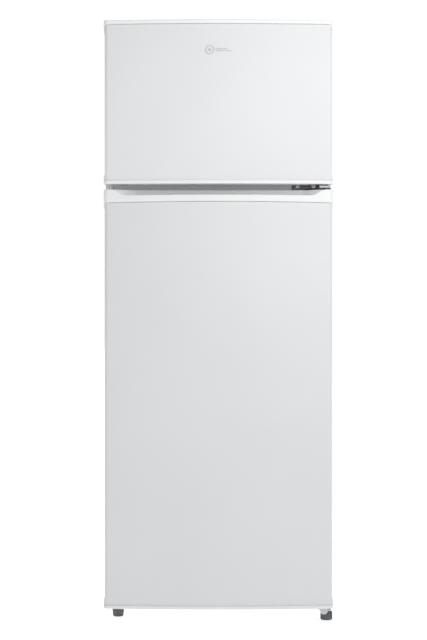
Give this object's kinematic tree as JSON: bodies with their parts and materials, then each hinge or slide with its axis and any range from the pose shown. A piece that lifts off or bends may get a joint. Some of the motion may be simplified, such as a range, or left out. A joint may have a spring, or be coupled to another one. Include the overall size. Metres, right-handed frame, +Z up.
{
  "type": "top freezer refrigerator",
  "caption": "Compact white top freezer refrigerator with bowed steel doors, a recessed grip between them, shelves, crisper drawer, wire condenser and levelling feet.",
  "frame": {"origin": "on the floor under the middle of the overall box", "axes": "+Z up, the doors face -Y, hinges at +X"},
  "size_m": [0.545, 0.555, 1.43],
  "materials": {
    "white_steel": "satin powder coat",
    "white_cap": "fine moulded satin",
    "liner_white": "vacuum formed gloss",
    "foam": "foamed in place",
    "gasket_rubber": "soft matt",
    "galvanised": "galvanised sheet",
    "hinge_steel": "dark plated",
    "bracket_steel": "zinc plated",
    "screw_steel": "zinc plated",
    "badge_metal": "satin",
    "clear_plastic": "clear moulded",
    "shelf_glass": "polished",
    "trim_white": "moulded gloss",
    "wire_white": "plastic coated wire",
    "control_grey": "fine moulded satin",
    "knob_grey": "moulded satin",
    "lamp_glass": "frosted",
    "compressor_black": "semi gloss enamel",
    "black_rubber": "matt",
    "black_plastic": "matt",
    "condenser_black": "matt enamel",
    "copper": "drawn tube",
    "roll_bond": "rolled",
    "foot_grey": "moulded"
  },
  "bodies": {
    "cabinet": {"cabinet_shell": "white_steel", "rear_panel": "galvanised", "base_plate": "galvanised", "cabinet_foam": "foam", "freezer_liner": "liner_white", "fridge_liner": "liner_white", "centre_rail": "white_steel", "top_hinge": "bracket_steel", "middle_hinge": "hinge_steel", "bottom_hinge": "bracket_steel", "hinge_screws": "screw_steel", "top_hinge_cover": "white_cap", "glass_shelf_1": "shelf_glass", "glass_shelf_2": "shelf_glass", "glass_shelf_3": "shelf_glass", "shelf_trims": "trim_white", "crisper_cover": "shelf_glass", "freezer_shelf": "wire_white", "control_housing": "control_grey", "lamp_cover": "clear_plastic", "lamp_bulb": "lamp_glass", "compressor_tray": "galvanised", "compressor": "compressor_black", "compressor_grommets": "black_rubber", "compressor_bolts": "screw_steel", "relay_cover": "black_plastic", "drain_tray": "black_plastic", "drain_tube": "black_plastic", "condenser_coil": "condenser_black", "rear_spacers": "black_plastic", "refrigerant_pipes": "copper", "filter_drier": "copper", "freezer_evaporator": "roll_bond", "fridge_evaporator": "roll_bond", "cord_gland": "black_plastic"},
    "freezer_door": {"freezer_door_top_cap": "white_cap", "freezer_door_bottom_cap": "white_cap", "freezer_door_skin": "white_steel", "freezer_door_liner": "liner_white", "freezer_door_foam": "foam", "freezer_door_gasket": "gasket_rubber", "freezer_door_lower_rack": "clear_plastic", "freezer_door_upper_rack": "clear_plastic", "badge": "badge_metal"},
    "fridge_door": {"fridge_door_top_cap": "white_cap", "fridge_door_bottom_cap": "white_cap", "fridge_door_skin": "white_steel", "fridge_door_liner": "liner_white", "fridge_door_foam": "foam", "fridge_door_gasket": "gasket_rubber", "fridge_door_bottle_rack": "clear_plastic", "fridge_door_middle_rack": "clear_plastic", "fridge_door_upper_rack": "clear_plastic"},
    "crisper": {"crisper_drawer": "clear_plastic"},
    "knob": {"thermostat_knob": "knob_grey"},
    "door_switch": {"door_switch_plunger": "trim_white"},
    "left_levelling_foot": {"left_foot": "foot_grey"},
    "right_levelling_foot": {"right_foot": "foot_grey"},
    "left_rear_roller": {"left_roller": "black_plastic"},
    "right_rear_roller": {"right_roller": "black_plastic"}
  },
  "joints": [
    {"name": "freezer_door_hinge", "type": "hinge", "parent": "cabinet", "child": "freezer_door", "pos_m": [0.257, -0.238, 1.2], "axis": [0, 0, 1], "range_deg": [0, 130]},
    {"name": "fridge_door_hinge", "type": "hinge", "parent": "cabinet", "child": "fridge_door", "pos_m": [0.257, -0.238, 0.5], "axis": [0, 0, 1], "range_deg": [0, 130]},
    {"name": "crisper_slide", "type": "slide", "parent": "cabinet", "child": "crisper", "axis": [0, -1, 0], "range_m": [0, 0.15]},
    {"name": "thermostat_turn", "type": "hinge", "parent": "cabinet", "child": "knob", "pos_m": [0.038, -0.2, 0.961], "axis": [0, 1, 0], "range_deg": [0, 300]},
    {"name": "door_switch_push", "type": "slide", "parent": "cabinet", "child": "door_switch", "axis": [0, 1, 0], "range_m": [0, 0.004], "stiffness_N_per_m": 150, "springref_m": -0.003},
    {"name": "left_foot_height", "type": "slide", "parent": "cabinet", "child": "left_levelling_foot", "axis": [0, 0, -1], "range_m": [0, 0.012]},
    {"name": "right_foot_height", "type": "slide", "parent": "cabinet", "child": "right_levelling_foot", "axis": [0, 0, -1], "range_m": [0, 0.012]},
    {"name": "left_roller_turn", "type": "hinge", "parent": "cabinet", "child": "left_rear_roller", "pos_m": [-0.215, 0.19, 0.015], "axis": [1, 0, 0], "continuous": true},
    {"name": "right_roller_turn", "type": "hinge", "parent": "cabinet", "child": "right_rear_roller", "pos_m": [0.215, 0.19, 0.015], "axis": [1, 0, 0], "continuous": true}
  ],
  "couplings": [
    {"joint": "crisper_slide", "follows": "fridge_door_hinge", "m_per_rad": 0.065}
  ]
}
